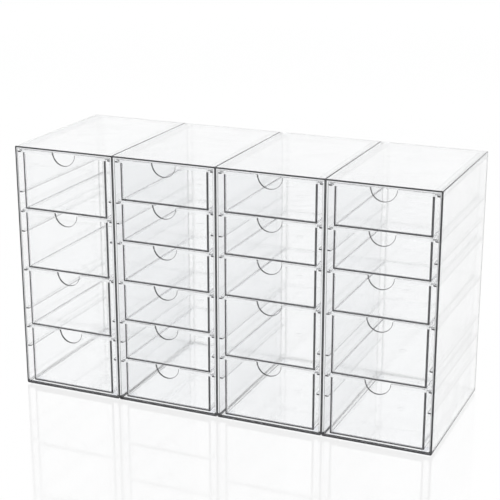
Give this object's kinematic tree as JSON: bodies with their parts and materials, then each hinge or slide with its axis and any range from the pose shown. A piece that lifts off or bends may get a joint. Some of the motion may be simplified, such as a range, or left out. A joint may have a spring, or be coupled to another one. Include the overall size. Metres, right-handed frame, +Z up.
{
  "type": "drawer organizer",
  "caption": "Row of clear plastic drawer towers for craft stamps; each casing carries small or large open-topped drawers that hang by side flanges and slide out by a finger notch.",
  "frame": {"origin": "on the table, under the middle of the row of towers", "axes": "+X along the row to the user's right, -Y out of the open fronts, +Z up"},
  "size_m": [0.5014, 0.186, 0.293],
  "materials": {
    "clear_casing": "clear, glossy moulded",
    "clear_drawer": "clear, glossy moulded",
    "foot_pads": "clear soft elastomer"
  },
  "bodies": {
    "towers": {"casing_1": "clear_casing", "feet_1": "foot_pads", "casing_2": "clear_casing", "feet_2": "foot_pads", "casing_3": "clear_casing", "feet_3": "foot_pads", "casing_4": "clear_casing", "feet_4": "foot_pads"},
    "large_drawer_1_1": {"large_drawer_1_1": "clear_drawer"},
    "large_drawer_1_2": {"large_drawer_1_2": "clear_drawer"},
    "large_drawer_1_3": {"large_drawer_1_3": "clear_drawer"},
    "large_drawer_1_4": {"large_drawer_1_4": "clear_drawer"},
    "small_drawer_2_1": {"small_drawer_2_1": "clear_drawer"},
    "small_drawer_2_2": {"small_drawer_2_2": "clear_drawer"},
    "small_drawer_2_3": {"small_drawer_2_3": "clear_drawer"},
    "small_drawer_2_4": {"small_drawer_2_4": "clear_drawer"},
    "small_drawer_2_5": {"small_drawer_2_5": "clear_drawer"},
    "small_drawer_2_6": {"small_drawer_2_6": "clear_drawer"},
    "small_drawer_3_1": {"small_drawer_3_1": "clear_drawer"},
    "small_drawer_3_2": {"small_drawer_3_2": "clear_drawer"},
    "small_drawer_3_3": {"small_drawer_3_3": "clear_drawer"},
    "large_drawer_3_4": {"large_drawer_3_4": "clear_drawer"},
    "large_drawer_3_5": {"large_drawer_3_5": "clear_drawer"},
    "small_drawer_4_1": {"small_drawer_4_1": "clear_drawer"},
    "small_drawer_4_2": {"small_drawer_4_2": "clear_drawer"},
    "small_drawer_4_3": {"small_drawer_4_3": "clear_drawer"},
    "large_drawer_4_4": {"large_drawer_4_4": "clear_drawer"},
    "large_drawer_4_5": {"large_drawer_4_5": "clear_drawer"}
  },
  "joints": [
    {"name": "large_drawer_1_1_slide", "type": "slide", "parent": "towers", "child": "large_drawer_1_1", "axis": [0, -1, 0], "range_m": [0, 0.125]},
    {"name": "large_drawer_1_2_slide", "type": "slide", "parent": "towers", "child": "large_drawer_1_2", "axis": [0, -1, 0], "range_m": [0, 0.125]},
    {"name": "large_drawer_1_3_slide", "type": "slide", "parent": "towers", "child": "large_drawer_1_3", "axis": [0, -1, 0], "range_m": [0, 0.125]},
    {"name": "large_drawer_1_4_slide", "type": "slide", "parent": "towers", "child": "large_drawer_1_4", "axis": [0, -1, 0], "range_m": [0, 0.125]},
    {"name": "small_drawer_2_1_slide", "type": "slide", "parent": "towers", "child": "small_drawer_2_1", "axis": [0, -1, 0], "range_m": [0, 0.125]},
    {"name": "small_drawer_2_2_slide", "type": "slide", "parent": "towers", "child": "small_drawer_2_2", "axis": [0, -1, 0], "range_m": [0, 0.125]},
    {"name": "small_drawer_2_3_slide", "type": "slide", "parent": "towers", "child": "small_drawer_2_3", "axis": [0, -1, 0], "range_m": [0, 0.125]},
    {"name": "small_drawer_2_4_slide", "type": "slide", "parent": "towers", "child": "small_drawer_2_4", "axis": [0, -1, 0], "range_m": [0, 0.125]},
    {"name": "small_drawer_2_5_slide", "type": "slide", "parent": "towers", "child": "small_drawer_2_5", "axis": [0, -1, 0], "range_m": [0, 0.125]},
    {"name": "small_drawer_2_6_slide", "type": "slide", "parent": "towers", "child": "small_drawer_2_6", "axis": [0, -1, 0], "range_m": [0, 0.125]},
    {"name": "small_drawer_3_1_slide", "type": "slide", "parent": "towers", "child": "small_drawer_3_1", "axis": [0, -1, 0], "range_m": [0, 0.125]},
    {"name": "small_drawer_3_2_slide", "type": "slide", "parent": "towers", "child": "small_drawer_3_2", "axis": [0, -1, 0], "range_m": [0, 0.125]},
    {"name": "small_drawer_3_3_slide", "type": "slide", "parent": "towers", "child": "small_drawer_3_3", "axis": [0, -1, 0], "range_m": [0, 0.125]},
    {"name": "large_drawer_3_4_slide", "type": "slide", "parent": "towers", "child": "large_drawer_3_4", "axis": [0, -1, 0], "range_m": [0, 0.125]},
    {"name": "large_drawer_3_5_slide", "type": "slide", "parent": "towers", "child": "large_drawer_3_5", "axis": [0, -1, 0], "range_m": [0, 0.125]},
    {"name": "small_drawer_4_1_slide", "type": "slide", "parent": "towers", "child": "small_drawer_4_1", "axis": [0, -1, 0], "range_m": [0, 0.125]},
    {"name": "small_drawer_4_2_slide", "type": "slide", "parent": "towers", "child": "small_drawer_4_2", "axis": [0, -1, 0], "range_m": [0, 0.125]},
    {"name": "small_drawer_4_3_slide", "type": "slide", "parent": "towers", "child": "small_drawer_4_3", "axis": [0, -1, 0], "range_m": [0, 0.125]},
    {"name": "large_drawer_4_4_slide", "type": "slide", "parent": "towers", "child": "large_drawer_4_4", "axis": [0, -1, 0], "range_m": [0, 0.125]},
    {"name": "large_drawer_4_5_slide", "type": "slide", "parent": "towers", "child": "large_drawer_4_5", "axis": [0, -1, 0], "range_m": [0, 0.125]}
  ]
}
